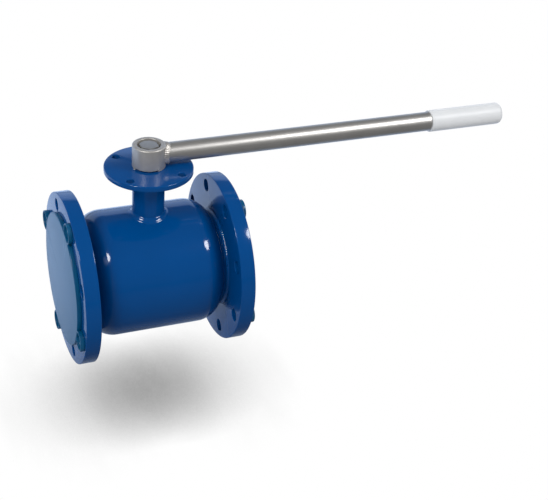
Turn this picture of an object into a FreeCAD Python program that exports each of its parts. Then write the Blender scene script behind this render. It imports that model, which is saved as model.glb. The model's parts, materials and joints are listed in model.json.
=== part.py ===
import FreeCAD, Part
import math
import os
import Sketcher

# A flanged ball valve with a lever, DN 125 in its pipe size, reduced to a 100 mm ball bore.
# The frame's origin is the centre of the inlet flange's bolting face, where its bolt holes open, just behind
# the raised face. +X runs along the pipe to the outlet, and +Z up along the stem. Each sub-part is drawn
# about the ball's centre, with its own +X pointing out of the valve or +Z up the stem, and its Placement
# puts it in the frame.

DIMENSIONS = {
    # flanges and pipe stubs
    "face_to_face": 246, "flange_dia": 245, "flange_thick": 21, "rim_chamfer": 1, "raised_dia": 184,
    "raised_high": 3, "bolt_circle": 210, "bolt_hole": 18, "bolt_count": 8, "bolt_start": 22.5,
    "stub_dia": 133, "stub_wall": 4, "stub_inner_end": 68, "stub_recess": 6,
    # shell: a tube drawn in at both ends
    "shell_dia": 180, "shell_wall": 6, "shell_reach": 91, "shoulder_radius": 30,
    # welds, as leg lengths
    "stub_weld": 5, "stub_weld_run": 4, "flange_weld": 4.5, "neck_weld_leg": 5, "pad_weld_leg": 4,
    "weld_hollow": 1.4,  # a concave weld's radius, in leg lengths
    # ball
    "ball_dia": 150, "ball_bore": 100, "slot_wide": 16.6, "slot_long": 38.8, "slot_floor": 63.2,
    "balance_hole": 6,
    # seats: ring, carrier, disc spring and O-ring
    "seat_bore": 103, "seat_dia": 125.8, "seat_gap": 0.06, "seat_lip_dia": 122, "seat_back": 58,
    "carrier_front": 48, "carrier_rim_dia": 140, "carrier_dia": 156, "carrier_back": 63,
    "carrier_tail_dia": 124.8, "carrier_tail_end": 82, "seat_groove_at": 72, "seat_groove_wide": 5,
    "seat_groove_dia": 117, "seat_ring_thick": 3.8, "spring_bore": 125.8, "spring_dia": 155,
    "spring_thick": 2, "spring_rise": 3,
    # stem neck and mounting pad
    "neck_dia": 45, "neck_foot": 86, "neck_bore": 30.1, "neck_wide_bore": 36, "bushing_long": 12,
    "gland_depth": 20, "packing_long": 10, "gland_long": 7, "clip_groove_dia": 38.4, "clip_groove_wide": 1.7,
    "clip_lip": 1.3, "clip_bore": 32.5, "clip_dia": 38.2, "clip_thick": 1.6, "clip_mouth": 8,
    "pad_dia": 123, "pad_thick": 8, "pad_top": 163, "pad_round": 1.5, "pad_circle": 102, "pad_hole": 11,
    "pad_start": 45, "pad_count": 4,
    # stem
    "stem_dia": 30, "shoulder_dia": 38, "shoulder_top": 84, "shoulder_thick": 5, "washer_foot": 84.1,
    "tang_wide": 16, "tang_long": 38, "tang_foot": 64, "stem_groove_dia": 24.4, "stem_groove_wide": 3.6,
    "ring_count": 3, "ring_first": 106, "ring_step": 12, "ring_thick": 2.7, "stem_square": 22,
    "square_top": 181, "square_round": 2,
    # stop pin and the notch that it runs in
    "pin_dia": 4, "pin_circle": 44, "pin_top": 165.4, "pin_depth": 8, "pin_angle": 193, "notch_bore": 39.4,
    "notch_top": 165.9, "lever_travel": 90, "stop_gap": 0.15,
    # hub, washer and bolt
    "hub_dia": 46, "hub_foot": 163.5, "hub_top": 196, "hub_round": 2, "recess_dia": 33, "recess_floor": 182,
    "recess_chamfer": 0.8, "hub_washer_dia": 31, "hub_washer_bore": 17, "hub_washer_thick": 3,
    "thread_dia": 16, "thread_depth": 36, "bolt_dia": 15.9, "bolt_flats": 24, "bolt_head": 10,
    "bolt_long": 30, "head_slope": 30,
    # lever and grip
    "lever_dia": 28, "lever_wall": 2, "lever_axis": 180, "lever_root": 10, "lever_end": 546,
    "grip_start": 430, "grip_dia": 32, "grip_end": 550, "grip_round": 5, "grip_lip": 0.8,
    # flange covers
    "cap_face_at": 3, "cap_thick": 2, "cap_gap": 0.1, "cap_bore": 184.2, "cap_wall": 2.4, "cap_round": 1.2,
    "cup_dia": 29, "cup_wall": 2, "cup_floor": 2, "cup_count": 4,
    # how far a cutting shape runs past what it cuts
    "overrun": 1,
}
HEX_SIDES = 6

DOC = FreeCAD.newDocument("ball_valve")
SHEET = DOC.addObject("Spreadsheet::Sheet", "dims")
for row, (word, number) in enumerate(DIMENSIONS.items(), 1):
    SHEET.set(f"A{row}", word)
    SHEET.set(f"B{row}", str(number))
    SHEET.setAlias(f"B{row}", word)
DOC.recompute()

PARTS = []
UP = FreeCAD.Vector(0, 0, 1)
ALONG = FreeCAD.Vector(1, 0, 0)
BALL_AT = "dims.face_to_face / 2 - dims.raised_high"
OUTLET, INLET = "outlet", "inlet"


def place(part, side=OUTLET, roll=0):
    """Put a sub-part in the frame: an inlet one is turned half round the stem. Roll turns it on the pipe."""
    turn = FreeCAD.Rotation(UP, 180 if side == INLET else 0)
    part.Placement = FreeCAD.Placement(FreeCAD.Vector(), turn.multiply(FreeCAD.Rotation(ALONG, roll)))
    part.setExpression("Placement.Base.x", BALL_AT)
    PARTS.append(part)


def new_body(label, side=OUTLET, roll=0):
    body = DOC.addObject("PartDesign::Body", label)
    body.Label = label
    place(body, side, roll)
    return body


def new_sketch(body, plane, turn=None):
    """A sketch on one of the body's origin planes, turned about its upright axis where turn is a formula."""
    sketch = body.newObject("Sketcher::SketchObject", body.Label + "_sketch")
    sketch.AttachmentSupport = [(f, "") for f in body.Origin.OriginFeatures if f.Role == plane]
    sketch.MapMode = "FlatFace"
    if turn:
        upright = FreeCAD.Vector(0, 1, 0)
        sketch.AttachmentOffset = FreeCAD.Placement(FreeCAD.Vector(), FreeCAD.Rotation(upright, 1))
        sketch.setExpression("AttachmentOffset.Rotation.Angle", turn)
    return sketch


def hold(sketch, kind, formula, *where):
    index = sketch.addConstraint(Sketcher.Constraint(kind, *where, float(sketch.evalExpression(formula))))
    sketch.setExpression(f"Constraints[{index}]", formula)


def hold_point(sketch, edge, end, across, up):
    hold(sketch, "DistanceX", across, -1, 1, edge, end)
    hold(sketch, "DistanceY", up, -1, 1, edge, end)


def arc_between(start, end, radius, turn):
    """The shorter arc between two points, anticlockwise where turn is 1, and its two ends' numbers."""
    chord = end - start
    left = FreeCAD.Vector(-chord.y, chord.x, 0).normalize()
    centre = (start + end) / 2 + left * turn * math.sqrt(radius**2 - (chord.Length / 2) ** 2)
    first, last = (start, end) if turn > 0 else (end, start)
    angles = [math.atan2(p.y - centre.y, p.x - centre.x) for p in (first, last)]
    arc = Part.ArcOfCircle(Part.Circle(centre, UP, radius), angles[0], angles[1])
    return arc, (1, 2) if turn > 0 else (2, 1)


def outline(sketch, corners):
    """A closed outline. A corner is (across, up), or (across, up, radius, turn) when an arc leads to it."""
    points = [FreeCAD.Vector(sketch.evalExpression(c[0]), sketch.evalExpression(c[1]), 0) for c in corners]
    edges = []
    for number, corner in enumerate(corners):
        start, end = points[number - 1], points[number]
        if len(corner) == 2:
            edges.append((sketch.addGeometry(Part.LineSegment(start, end)), 1, 2))
            continue
        arc, ends = arc_between(start, end, sketch.evalExpression(corner[2]), corner[3])
        edges.append((sketch.addGeometry(arc), *ends))
    for number, corner in enumerate(corners):
        edge, _, end = edges[number]
        after, start, _ = edges[(number + 1) % len(edges)]
        sketch.addConstraint(Sketcher.Constraint("Coincident", edge, end, after, start))
        hold_point(sketch, edge, end, corner[0], corner[1])
        if len(corner) > 2:
            hold(sketch, "Radius", corner[2], edge)


def circle(sketch, across, up, diameter):
    where = FreeCAD.Vector(sketch.evalExpression(across), sketch.evalExpression(up), 0)
    edge = sketch.addGeometry(Part.Circle(where, UP, sketch.evalExpression(diameter) / 2))
    hold_point(sketch, edge, 3, across, up)
    hold(sketch, "Diameter", diameter, edge)


def revolve(body, corners, axis, kind="Revolution", plane="XZ_Plane"):
    """Turn an outline full circle: H_Axis is the pipe's axis and V_Axis the stem's."""
    sketch = new_sketch(body, plane)
    outline(sketch, corners)
    feature = body.newObject("PartDesign::" + kind, body.Label + "_turned")
    feature.Profile = sketch
    feature.ReferenceAxis = (sketch, [axis])
    feature.Angle = 360
    return feature


def extrude(body, sketch, kind, length, start="0"):
    """Pad or pocket a sketch along its normal, from start to start + length."""
    sketch.setExpression("AttachmentOffset.Base.z", start)
    feature = body.newObject("PartDesign::" + kind, body.Label + "_" + kind.lower())
    feature.Profile = sketch
    feature.Type = 0
    feature.setExpression("Length", length)
    feature.Reversed = kind == "Pocket"  # a pocket otherwise cuts against the normal
    return feature


def pattern(body, features, axis, count):
    feature = body.newObject("PartDesign::PolarPattern", body.Label + "_pattern")
    feature.Originals = features
    feature.Axis = ([f for f in body.Origin.OriginFeatures if f.Role == axis][0], [""])
    feature.Angle = 360
    feature.setExpression("Occurrences", count)
    body.Tip = feature
    return feature


def round_edges(body, feature, radius, chosen, kind="Fillet"):
    """Fillet or chamfer the edges of a feature that the function chosen accepts."""
    DOC.recompute()
    names = [f"Edge{i}" for i, edge in enumerate(feature.Shape.Edges, 1) if chosen(edge)]
    finish = body.newObject("PartDesign::" + kind, body.Label + "_edges")
    finish.Base = (feature, names)
    finish.setExpression("Radius" if kind == "Fillet" else "Size", radius)
    return finish


def is_circle(edge, radius):
    return isinstance(edge.Curve, Part.Circle) and abs(edge.Curve.Radius - radius) < 1e-6


def half(word):
    return f"dims.{word} / 2"


def on_circle(circle_word, angle_word):
    """The two coordinates of a point on a circle of holes or pins, at its stated angle."""
    return [f"dims.{circle_word} / 2 * {way}(dims.{angle_word})" for way in ("cos", "sin")]


def check_holes(removed, count, diameter, depth):
    """Stop if the volume removed isn't that of so many round holes."""
    one = math.pi * DIMENSIONS[diameter] ** 2 / 4 * DIMENSIONS[depth]
    assert abs(removed - DIMENSIONS[count] * one) < 1, f"the {diameter}s aren't all cut"


# ---- pressure body -------------------------------------------------------------------------------------


def shell_outline_ends():
    """Where the shell's rounded shoulders meet the stub's outside, on the outer and on the inner skin."""
    rise = "(dims.stub_dia / 2 - dims.shell_dia / 2 + dims.shoulder_radius)"
    straight = "dims.shell_reach - dims.shoulder_radius"
    outer = f"{straight} + sqrt(dims.shoulder_radius ^ 2 - {rise} ^ 2)"
    inner = f"{straight} + sqrt((dims.shoulder_radius - dims.shell_wall) ^ 2 - {rise} ^ 2)"
    return straight, outer, inner


def body_shell():
    body = new_body("body_shell")
    straight, outer, inner = shell_outline_ends()
    rim, skin, lining = half("stub_dia"), half("shell_dia"), half("shell_dia") + " - dims.shell_wall"
    bend, tight = "dims.shoulder_radius", "dims.shoulder_radius - dims.shell_wall"
    turned = revolve(body, [
        (f"-({outer})", rim), (f"-({straight})", skin, bend, -1), (straight, skin), (outer, rim, bend, -1),
        (inner, rim), (straight, lining, tight, 1), (f"-({straight})", lining),
        (f"-({inner})", rim, tight, 1),
    ], "H_Axis")
    DOC.recompute()
    whole = turned.Shape.Volume
    hole = new_sketch(body, "XY_Plane")
    circle(hole, "0", "0", "dims.neck_dia")
    extrude(body, hole, "Pocket", "dims.shell_dia")
    DOC.recompute()
    assert whole > body.Shape.Volume, "the neck's hole isn't cut in the shell"


def stub(side):
    body = new_body(f"{side}_stub", side)
    start, end = "dims.stub_inner_end", "dims.face_to_face / 2 - dims.stub_recess"
    inner, outer = half("stub_dia") + " - dims.stub_wall", half("stub_dia")
    revolve(body, [(start, inner), (start, outer), (end, outer), (end, inner)], "H_Axis")


def flange(side):
    body = new_body(f"{side}_flange", side)
    face = "dims.face_to_face / 2"
    front = f"{face} - dims.raised_high"
    back = f"{front} - dims.flange_thick"
    bore, rim, raised = half("stub_dia"), half("flange_dia"), half("raised_dia")
    small = "dims.rim_chamfer"
    turned = revolve(body, [
        (back, bore), (back, f"{rim} - {small}"), (f"{back} + {small}", rim), (f"{front} - {small}", rim),
        (front, f"{rim} - {small}"), (front, raised), (face, raised), (face, bore),
    ], "H_Axis")
    holes = new_sketch(body, "YZ_Plane")
    circle(holes, *on_circle("bolt_circle", "bolt_start"), "dims.bolt_hole")
    DOC.recompute()
    whole = turned.Shape.Volume
    hole = extrude(body, holes, "Pocket", "dims.face_to_face / 2")
    pattern(body, [hole], "X_Axis", "dims.bolt_count")
    DOC.recompute()
    check_holes(whole - body.Shape.Volume, "bolt_count", "bolt_hole", "flange_thick")


def shell_weld(side):
    """A fillet where the shell's shoulder meets the stub. Its inner edge follows the shoulder."""
    body = new_body(f"{side}_stub_weld", side)
    straight, outer, _ = shell_outline_ends()
    root = half("stub_dia")
    top = f"{root} + dims.stub_weld"
    rise = f"({top} - dims.shell_dia / 2 + dims.shoulder_radius)"
    top_at = f"{straight} + sqrt(dims.shoulder_radius ^ 2 - {rise} ^ 2)"
    revolve(body, [
        (outer, root), (top_at, top, "dims.shoulder_radius", 1),
        (f"{outer} + dims.stub_weld_run", root, "dims.stub_weld * dims.weld_hollow", -1),
    ], "H_Axis")


def flange_weld(side):
    """A fillet on the stub behind the flange."""
    body = new_body(f"{side}_flange_weld", side)
    back = "dims.face_to_face / 2 - dims.raised_high - dims.flange_thick"
    root = half("stub_dia")
    revolve(body, [
        (f"{back} - dims.flange_weld", root),
        (back, f"{root} + dims.flange_weld", "dims.flange_weld * dims.weld_hollow", -1), (back, root),
    ], "H_Axis")


def face_weld(side):
    """A fillet inside the flange's bore, at the end of the stub."""
    body = new_body(f"{side}_face_weld", side)
    end = "dims.face_to_face / 2 - dims.stub_recess"
    outer, inner = half("stub_dia"), half("stub_dia") + " - dims.stub_wall"
    revolve(body, [(end, inner), (end, outer), (f"{end} + dims.stub_wall", outer)], "H_Axis")


def stem_neck():
    body = new_body("stem_neck")
    foot, top = "dims.neck_foot", "dims.pad_top"
    skin, bore, wide = half("neck_dia"), half("neck_bore"), half("neck_wide_bore")
    seat = f"{top} - dims.gland_depth"
    lip = f"{top} - dims.clip_lip"
    groove = f"{lip} - dims.clip_groove_wide"
    turned = revolve(body, [
        (wide, foot), (skin, foot), (skin, top), (wide, top), (wide, lip), (half("clip_groove_dia"), lip),
        (half("clip_groove_dia"), groove), (wide, groove), (wide, seat), (bore, seat),
        (bore, f"{foot} + dims.bushing_long"), (wide, f"{foot} + dims.bushing_long"),
    ], "V_Axis")
    drill_pin_hole(body, turned)


def drill_pin_hole(body, solid):
    """The stop pin stands on the seam between neck and pad, so each has part of its hole."""
    sketch = new_sketch(body, "XY_Plane")
    circle(sketch, *on_circle("pin_circle", "pin_angle"), "dims.pin_dia")
    DOC.recompute()
    whole = solid.Shape.Volume
    extrude(body, sketch, "Pocket", "dims.pin_depth + dims.overrun", "dims.pad_top - dims.pin_depth")
    DOC.recompute()
    assert whole > body.Shape.Volume, "the stop pin's hole isn't cut"


def actuator_pad():
    body = new_body("actuator_pad")
    sketch = new_sketch(body, "XY_Plane")
    circle(sketch, "0", "0", "dims.pad_dia")
    circle(sketch, "0", "0", "dims.neck_dia")
    plate = extrude(body, sketch, "Pad", "dims.pad_thick", "dims.pad_top - dims.pad_thick")
    DOC.recompute()
    whole = plate.Shape.Volume
    holes = new_sketch(body, "XY_Plane")
    circle(holes, *on_circle("pad_circle", "pad_start"), "dims.pad_hole")
    hole = extrude(body, holes, "Pocket", "dims.pad_top + dims.overrun")
    holed = pattern(body, [hole], "Z_Axis", "dims.pad_count")
    DOC.recompute()
    check_holes(whole - body.Shape.Volume, "pad_count", "pad_hole", "pad_thick")
    rim = round_edges(body, holed, "dims.pad_round", lambda e: is_circle(e, DIMENSIONS["pad_dia"] / 2))
    DOC.recompute()
    drill_pin_hole(body, rim)


def pad_weld():
    body = new_body("pad_weld")
    under, root = "dims.pad_top - dims.pad_thick", half("neck_dia")
    revolve(body, [
        (root, f"{under} - dims.pad_weld_leg"),
        (f"{root} + dims.pad_weld_leg", under, "dims.pad_weld_leg * dims.weld_hollow", 1), (root, under),
    ], "V_Axis")


def cylinder(name, radius, height, axis=UP, start="0"):
    """A plain cylinder about the ball's centre line, for booleans."""
    solid = DOC.addObject("Part::Cylinder", name)
    solid.setExpression("Radius", radius)
    solid.setExpression("Height", height)
    solid.Placement = FreeCAD.Placement(FreeCAD.Vector(), FreeCAD.Rotation(UP, axis))
    solid.setExpression("Placement.Base.x" if axis == ALONG else "Placement.Base.z", start)
    return solid


def boolean(kind, name, base, tool):
    result = DOC.addObject("Part::" + kind, name)
    result.Base = base
    result.Tool = tool
    return result


def neck_weld():
    """The saddle fillet where neck meets shell: the two cylinders joined and filleted, less themselves."""
    across = cylinder("weld_shell", half("shell_dia"), "dims.shell_dia", ALONG, "-dims.shell_dia / 2")
    upright = cylinder("weld_neck", half("neck_dia"), "dims.pad_top")
    joined = boolean("Fuse", "weld_joined", across, upright)
    DOC.recompute()
    rounded = DOC.addObject("Part::Fillet", "weld_rounded")
    rounded.Base = joined
    leg = DIMENSIONS["neck_weld_leg"]
    seam = [i for i, e in enumerate(joined.Shape.Edges, 1) if isinstance(e.Curve, Part.BSplineCurve)]
    rounded.Edges = [(i, leg, leg) for i in seam]
    DOC.recompute()
    spare = [cylinder("weld_shell_less", half("shell_dia"), "dims.shell_dia", ALONG, "-dims.shell_dia / 2"),
             cylinder("weld_neck_less", half("neck_dia"), "dims.pad_top + dims.overrun")]
    bare = boolean("Cut", "weld_bare", rounded, spare[0])
    weld = boolean("Cut", "neck_weld", bare, spare[1])
    weld.Label = "neck_weld"
    place(weld)


def stop_pin():
    body = new_body("stop_pin")
    sketch = new_sketch(body, "XY_Plane")
    circle(sketch, *on_circle("pin_circle", "pin_angle"), "dims.pin_dia")
    foot = "dims.pad_top - dims.pin_depth"
    extrude(body, sketch, "Pad", f"dims.pin_top - ({foot})", foot)


# ---- ball and seats ------------------------------------------------------------------------------------


def ball():
    body = new_body("ball")
    reach = "sqrt((dims.ball_dia / 2) ^ 2 - (dims.ball_bore / 2) ^ 2)"
    top, bore = half("ball_dia"), half("ball_bore")
    turned = revolve(body, [
        (f"-{reach}", bore), ("0", top, top, -1), (reach, bore, top, -1),
    ], "H_Axis")
    slot = new_sketch(body, "XY_Plane")
    side, end = half("slot_wide"), half("slot_long")
    outline(slot, [(f"-{side}", f"-{end}"), (side, f"-{end}"), (side, end), (f"-{side}", end)])
    DOC.recompute()
    whole = turned.Shape.Volume
    extrude(body, slot, "Pocket", "dims.ball_dia / 2", "dims.slot_floor")
    balance = new_sketch(body, "XY_Plane")
    circle(balance, "0", "0", "dims.balance_hole")
    extrude(body, balance, "Pocket", "dims.ball_dia / 2")
    DOC.recompute()
    assert whole > body.Shape.Volume, "the stem's slot isn't cut in the ball"


def seat(side):
    """A plastic ring, hollowed to the ball with a small gap."""
    body = new_body(f"{side}_seat", side)
    touch = "(dims.ball_dia / 2 + dims.seat_gap)"
    bore, lip, rim, back = half("seat_bore"), half("seat_lip_dia"), half("seat_dia"), "dims.seat_back"
    inner_at = f"sqrt({touch} ^ 2 - (dims.seat_bore / 2) ^ 2)"
    lip_at = f"sqrt({touch} ^ 2 - (dims.seat_lip_dia / 2) ^ 2)"
    revolve(body, [
        (back, bore), (inner_at, bore), (lip_at, lip, touch, 1), (lip_at, rim), (back, rim),
    ], "H_Axis")


def seat_carrier(side):
    body = new_body(f"{side}_seat_carrier", side)
    front, back, rear = "dims.carrier_front", "dims.seat_back", "dims.carrier_back"
    pocket, rim, skirt = half("seat_dia"), half("carrier_rim_dia"), half("carrier_dia")
    tail, groove, bore = half("carrier_tail_dia"), half("seat_groove_dia"), half("seat_bore")
    start, end = "dims.seat_groove_at", "dims.seat_groove_at + dims.seat_groove_wide"
    revolve(body, [
        (back, bore), (back, pocket), (front, pocket), (front, rim), (back, rim), (back, skirt),
        (rear, skirt), (rear, tail), (start, tail), (start, groove), (end, groove), (end, tail),
        ("dims.carrier_tail_end", tail), ("dims.carrier_tail_end", bore),
    ], "H_Axis")


def disc_spring(side):
    body = new_body(f"{side}_disc_spring", side)
    low, rise, thick = "dims.carrier_back", "dims.spring_rise", "dims.spring_thick"
    inner, outer = half("spring_bore"), half("spring_dia")
    high = f"{low} + {rise}"
    cone = [(low, outer), (high, inner), (f"{high} + {thick}", inner), (f"{low} + {thick}", outer)]
    revolve(body, cone, "H_Axis")


def seat_ring(side):
    ring = DOC.addObject("Part::Torus", f"{side}_seat_o_ring")
    ring.setExpression("Radius1", half("seat_groove_dia") + " + dims.seat_ring_thick / 2")
    ring.setExpression("Radius2", half("seat_ring_thick"))
    turn = FreeCAD.Rotation(UP, ALONG if side == OUTLET else -ALONG)
    ring.Placement = FreeCAD.Placement(FreeCAD.Vector(), turn)
    sign = "+" if side == OUTLET else "-"
    middle = "(dims.seat_groove_at + dims.seat_groove_wide / 2)"
    ring.setExpression("Placement.Base.x", f"{BALL_AT} {sign} {middle}")
    PARTS.append(ring)


# ---- stem, its seals and bearings ----------------------------------------------------------------------


def stem():
    body = new_body("stem")
    under = "dims.shoulder_top"
    shaft, shoulder, groove = half("stem_dia"), half("shoulder_dia"), half("stem_groove_dia")
    foot = f"{under} - dims.shoulder_thick"
    corners = [("0", foot), (shoulder, foot), (shoulder, under), (shaft, under)]
    for number in range(DIMENSIONS["ring_count"]):
        low = f"dims.ring_first + dims.ring_step * {number} - dims.stem_groove_wide / 2"
        high = f"{low} + dims.stem_groove_wide"
        corners += [(shaft, low), (groove, low), (groove, high), (shaft, high)]
    corners += [(shaft, "dims.hub_foot"), ("0", "dims.hub_foot")]
    revolve(body, corners, "V_Axis")

    tang = new_sketch(body, "XY_Plane")
    side, end = half("tang_wide"), half("tang_long")
    outline(tang, [(f"-{side}", f"-{end}"), (side, f"-{end}"), (side, end), (f"-{side}", end)])
    extrude(body, tang, "Pad", f"{foot} - dims.tang_foot", "dims.tang_foot")

    square = new_sketch(body, "XY_Plane")
    outline(square, rounded_square(half("stem_square"), "dims.square_round"))
    drive = extrude(body, square, "Pad", "dims.square_top - dims.hub_foot", "dims.hub_foot")
    DOC.recompute()
    whole = drive.Shape.Volume
    thread = new_sketch(body, "XY_Plane")
    circle(thread, "0", "0", "dims.thread_dia")
    extrude(body, thread, "Pocket", "dims.thread_depth", "dims.square_top - dims.thread_depth")
    DOC.recompute()
    assert whole > body.Shape.Volume, "the hub bolt's hole isn't cut in the stem"


def rounded_square(flat, radius):
    """A square's corners, anticlockwise, with an arc of the given radius across each."""
    side = f"({flat} - {radius})"
    return [
        (flat, f"-{side}", radius, 1), (flat, side), (side, flat, radius, 1), (f"-{side}", flat),
        (f"-{flat}", side, radius, 1), (f"-{flat}", f"-{side}"), (f"-{side}", f"-{flat}", radius, 1),
        (side, f"-{flat}"),
    ]


def ring_on_stem(label, inner, outer, low, high):
    revolve(new_body(label), [(inner, low), (outer, low), (outer, high), (inner, high)], "V_Axis")


def stem_rings():
    rings = []
    for number in range(DIMENSIONS["ring_count"]):
        ring = DOC.addObject("Part::Torus", "stem_ring")
        ring.setExpression("Radius1", half("stem_groove_dia") + " + dims.ring_thick / 2")
        ring.setExpression("Radius2", half("ring_thick"))
        ring.setExpression("Placement.Base.z", f"dims.ring_first + dims.ring_step * {number}")
        rings.append(ring)
    group = DOC.addObject("Part::Compound", "stem_o_rings")
    group.Label = "stem_o_rings"
    group.Links = rings
    place(group)


def stem_seals():
    bore, wide, top = half("neck_bore"), half("neck_wide_bore"), "dims.pad_top"
    foot, seat_at = "dims.neck_foot", "dims.pad_top - dims.gland_depth"
    packed = f"{seat_at} + dims.packing_long"
    ring_on_stem("thrust_washer", bore, half("shoulder_dia"), "dims.washer_foot", foot)
    ring_on_stem("stem_bushing", bore, wide, foot, f"{foot} + dims.bushing_long")
    ring_on_stem("stem_packing", bore, wide, seat_at, packed)
    ring_on_stem("gland_ring", bore, wide, packed, f"{packed} + dims.gland_long")
    retaining_ring(f"{top} - dims.clip_lip - dims.clip_groove_wide")


def retaining_ring(groove_foot):
    """A spring ring in the neck's groove, open at one side."""
    body = new_body("retaining_ring")
    inner, outer, top = half("clip_bore"), half("clip_dia"), f"{groove_foot} + dims.clip_thick"
    revolve(body, [(inner, groove_foot), (outer, groove_foot), (outer, top), (inner, top)], "V_Axis")
    mouth = new_sketch(body, "XY_Plane")
    side, end = half("clip_mouth"), half("neck_dia")
    outline(mouth, [("0", f"-{side}"), (end, f"-{side}"), (end, side), ("0", side)])
    extrude(body, mouth, "Pocket", "dims.pad_top")


# ---- lever ---------------------------------------------------------------------------------------------


def lever_hub():
    body = new_body("lever_hub")
    foot, top, floor = "dims.hub_foot", "dims.hub_top", "dims.recess_floor"
    skin, recess, bend, small = half("hub_dia"), half("recess_dia"), "dims.hub_round", "dims.recess_chamfer"
    turned = revolve(body, [
        ("0", foot), (skin, foot), (skin, f"{top} - {bend}"), (f"{skin} - {bend}", top, bend, 1),
        (f"{recess} + {small}", top), (recess, f"{top} - {small}"), (recess, floor), ("0", floor),
    ], "V_Axis")
    DOC.recompute()
    whole = turned.Shape.Volume
    square = new_sketch(body, "XY_Plane")
    outline(square, rounded_square(half("stem_square"), "dims.square_round"))
    broached = extrude(body, square, "Pocket", "dims.hub_top")
    DOC.recompute()
    assert whole > broached.Shape.Volume, "the square isn't cut in the hub"
    cut_notch(body)


def cut_notch(body):
    """The notch under the hub's rim, in which the stop pin stands: a quarter turn and the pin's own width."""
    slack = "2 * asin((dims.pin_dia / 2 + dims.stop_gap) / (dims.pin_circle / 2))"
    middle = "dims.pin_angle + dims.lever_travel / 2"
    sketch = new_sketch(body, "XZ_Plane", middle)
    inner, outer = half("notch_bore"), half("hub_dia") + " + dims.overrun"
    under, over = "dims.hub_foot - dims.overrun", "dims.notch_top"
    outline(sketch, [(inner, under), (outer, under), (outer, over), (inner, over)])
    DOC.recompute()
    whole = body.Shape.Volume
    groove = body.newObject("PartDesign::Groove", "hub_notch")
    groove.Profile = sketch
    groove.ReferenceAxis = (sketch, ["V_Axis"])
    groove.Midplane = True
    groove.setExpression("Angle", f"dims.lever_travel * 1 deg + {slack}")
    DOC.recompute()
    assert whole > body.Shape.Volume, "the notch isn't cut in the hub"


def hub_bolt():
    body = new_body("hub_bolt")
    under = "dims.recess_floor + dims.hub_washer_thick"
    corner = f"dims.bolt_flats / 2 / cos({180 / HEX_SIDES})"
    angles = [360 / HEX_SIDES * number for number in range(HEX_SIDES)]
    head = new_sketch(body, "XY_Plane")
    outline(head, [(f"{corner} * cos({angle})", f"{corner} * sin({angle})") for angle in angles])
    hexagon = extrude(body, head, "Pad", "dims.bolt_head", under)
    DOC.recompute()
    whole = hexagon.Shape.Volume
    flat, top = half("bolt_flats"), f"{under} + dims.bolt_head"
    out, above = f"({corner} + dims.overrun)", f"{top} + dims.overrun"
    revolve(body, [
        (flat, above), (flat, top), (out, f"{top} - ({out} - {flat}) * tan(dims.head_slope)"), (out, above),
    ], "V_Axis", "Groove")
    DOC.recompute()
    assert whole > body.Shape.Volume, "the bolt's head isn't chamfered"
    shank = new_sketch(body, "XY_Plane")
    circle(shank, "0", "0", "dims.bolt_dia")
    extrude(body, shank, "Pad", "dims.bolt_long", f"{under} - dims.bolt_long")


def lever_tube():
    """The tube is laid along X at the lever's height, and its inner end is cut to the hub."""
    body = new_body("lever_tube")
    sketch = new_sketch(body, "YZ_Plane")
    circle(sketch, "0", "dims.lever_axis", "dims.lever_dia")
    circle(sketch, "0", "dims.lever_axis", "dims.lever_dia - 2 * dims.lever_wall")
    tube = extrude(body, sketch, "Pad", "dims.lever_end - dims.lever_root", "dims.lever_root")
    DOC.recompute()
    whole = tube.Shape.Volume
    cope = new_sketch(body, "XY_Plane")
    circle(cope, "0", "0", "dims.hub_dia")
    extrude(body, cope, "Pocket", "dims.hub_top * 2")
    DOC.recompute()
    assert whole > body.Shape.Volume, "the lever tube isn't cut to the hub"


def lever_grip():
    """A sleeve with a closed round end, turned about its own axis and lifted to the lever's height."""
    body = new_body("lever_grip")
    body.setExpression("Placement.Base.z", "dims.lever_axis")
    start, tube_end, end = "dims.grip_start", "dims.lever_end", "dims.grip_end"
    tube, skin, bend, lip = half("lever_dia"), half("grip_dia"), "dims.grip_round", "dims.grip_lip"
    revolve(body, [
        (start, tube), (start, f"{skin} - {lip}"), (f"{start} + {lip}", skin, lip, -1),
        (f"{end} - {bend}", skin), (end, f"{skin} - {bend}", bend, -1), (end, "0"), (tube_end, "0"),
        (tube_end, tube),
    ], "H_Axis")


# ---- flange covers -------------------------------------------------------------------------------------


def flange_cap(side, roll):
    """A round cover whose skirt grips the raised face, with a hollow cup over every other bolt hole."""
    body = new_body(f"{side}_cap", side, roll)
    face = "dims.face_to_face / 2"
    front, inside = f"{face} + dims.cap_face_at", f"{face} + dims.cap_face_at - dims.cap_thick"
    rest = f"{face} - dims.raised_high + dims.cap_gap"
    bore, skin, bend = half("cap_bore"), half("cap_bore") + " + dims.cap_wall", "dims.cap_round"
    dish = [
        (inside, "0"), (inside, bore), (rest, bore), (rest, skin), (f"{front} - {bend}", skin),
        (front, f"{skin} - {bend}", bend, 1), (front, "0"),
    ]
    revolve(body, dish, "H_Axis")
    up, across = on_circle("bolt_circle", "bolt_start")
    wall = new_sketch(body, "YZ_Plane")
    circle(wall, f"-{across}", up, "dims.cup_dia")
    cup = extrude(body, wall, "Pad", f"{front} - ({rest})", rest)
    hollow = new_sketch(body, "YZ_Plane")
    circle(hollow, f"-{across}", up, "dims.cup_dia - 2 * dims.cup_wall")
    inner = extrude(body, hollow, "Pocket", "dims.face_to_face", f"{rest} + dims.cup_floor")
    pattern(body, [cup, inner], "X_Axis", "dims.cup_count")
    revolve(body, dish, "H_Axis")  # once more, because the cups' hollows reach into the skirt
    DOC.recompute()
    whole = body.Shape.Volume
    revolve(body, [("0", "0"), ("0", bore), (inside, bore), (inside, "0")], "H_Axis", "Groove")
    DOC.recompute()
    assert whole > body.Shape.Volume, "the cups aren't cut back from the raised face"


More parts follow.
